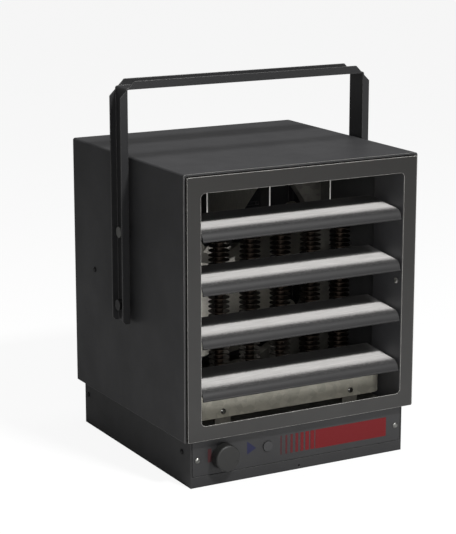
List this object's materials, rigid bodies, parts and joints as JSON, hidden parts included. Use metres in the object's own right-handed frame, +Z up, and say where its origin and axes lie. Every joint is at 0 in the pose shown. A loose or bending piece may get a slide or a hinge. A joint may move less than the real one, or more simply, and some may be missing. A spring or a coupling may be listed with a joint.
{
  "type": "electric unit heater",
  "caption": "Square black fan heater with curved adjustable front louvres over finned elements, a control box below with a dial, and a tilting channel bracket.",
  "frame": {"origin": "on the control box's flat base, under the middle of the casing", "axes": "+Z up, -Y is the front with the louvres and the dial, +X to the right seen from the front"},
  "size_m": [0.36, 0.3269, 0.4838],
  "materials": {
    "casing_enamel": "satin textured powder coat",
    "frame_enamel": "satin textured powder coat",
    "box_enamel": "satin textured powder coat",
    "panel_enamel": "satin textured powder coat",
    "bracket_enamel": "satin powder coat",
    "rail_steel": "satin paint",
    "louver_aluminium": "brushed along its length",
    "element_steel": "heat-browned",
    "bright_steel": "plain",
    "galvanised": "galvanised, dull",
    "fan_aluminium": "mill finish",
    "motor_enamel": "semi-gloss",
    "sensor_ceramic": "matte",
    "pale_plastic": "moulded",
    "knob_plastic": "fine grain",
    "button_plastic": "smooth",
    "dark_plastic": "moulded",
    "zinc_plate": "zinc plated",
    "black_screw": "black oxide"
  },
  "bodies": {
    "casing": {"casing_wrap": "casing_enamel", "front_frame": "frame_enamel", "base_pan": "casing_enamel", "rear_panel": "casing_enamel", "louver_rail_left": "rail_steel", "louver_rail_right": "rail_steel", "element_left": "element_steel", "element_middle": "element_steel", "element_right": "element_steel", "element_hangers": "bright_steel", "heat_shield": "galvanised", "limit_sensor": "sensor_ceramic", "fan_bulkhead": "galvanised", "motor_strap": "bright_steel", "fan_motor": "motor_enamel", "control_box": "box_enamel", "control_panel": "panel_enamel", "thermostat": "pale_plastic", "limit_switch": "dark_plastic", "contactor": "dark_plastic", "terminal_block": "dark_plastic", "pivot_bolts": "zinc_plate", "pivot_spacers": "zinc_plate", "panel_screws": "zinc_plate", "shield_screws": "zinc_plate", "rail_screws": "zinc_plate", "side_screws": "black_screw", "box_screws": "black_screw", "rear_screws": "black_screw"},
    "louver_1": {"louver_1": "louver_aluminium"},
    "louver_2": {"louver_2": "louver_aluminium"},
    "louver_3": {"louver_3": "louver_aluminium"},
    "louver_4": {"louver_4": "louver_aluminium"},
    "fan": {"fan_blades": "fan_aluminium", "fan_hub": "bright_steel", "motor_shaft": "bright_steel"},
    "bracket": {"mounting_bracket": "bracket_enamel", "clamp_screws": "bracket_enamel"},
    "knob": {"control_knob": "knob_plastic", "knob_shaft": "bright_steel"},
    "button": {"reset_button": "button_plastic"}
  },
  "joints": [
    {"name": "louver_1_tilt", "type": "hinge", "parent": "casing", "child": "louver_1", "pos_m": [0, -0.12, 0.3165], "axis": [1, 0, 0], "range_deg": [-30, 30]},
    {"name": "louver_2_tilt", "type": "hinge", "parent": "casing", "child": "louver_2", "pos_m": [0, -0.12, 0.251], "axis": [1, 0, 0], "range_deg": [-30, 30]},
    {"name": "louver_3_tilt", "type": "hinge", "parent": "casing", "child": "louver_3", "pos_m": [0, -0.12, 0.1855], "axis": [1, 0, 0], "range_deg": [-30, 30]},
    {"name": "louver_4_tilt", "type": "hinge", "parent": "casing", "child": "louver_4", "pos_m": [0, -0.12, 0.12], "axis": [1, 0, 0], "range_deg": [-30, 30]},
    {"name": "fan_spin", "type": "hinge", "parent": "casing", "child": "fan", "pos_m": [0, 0.07, 0.226], "axis": [0, 1, 0], "continuous": true},
    {"name": "bracket_tilt", "type": "hinge", "parent": "casing", "child": "bracket", "pos_m": [0, -0.0047, 0.295], "axis": [1, 0, 0], "range_deg": [-45, 45]},
    {"name": "knob_turn", "type": "hinge", "parent": "casing", "child": "knob", "pos_m": [-0.109, -0.16, 0.0355], "axis": [0, 1, 0], "range_deg": [0, 300]},
    {"name": "button_press", "type": "slide", "parent": "casing", "child": "button", "axis": [0, 1, 0], "range_m": [0, 0.002], "stiffness_N_per_m": 250, "springref_m": -0.001}
  ]
}
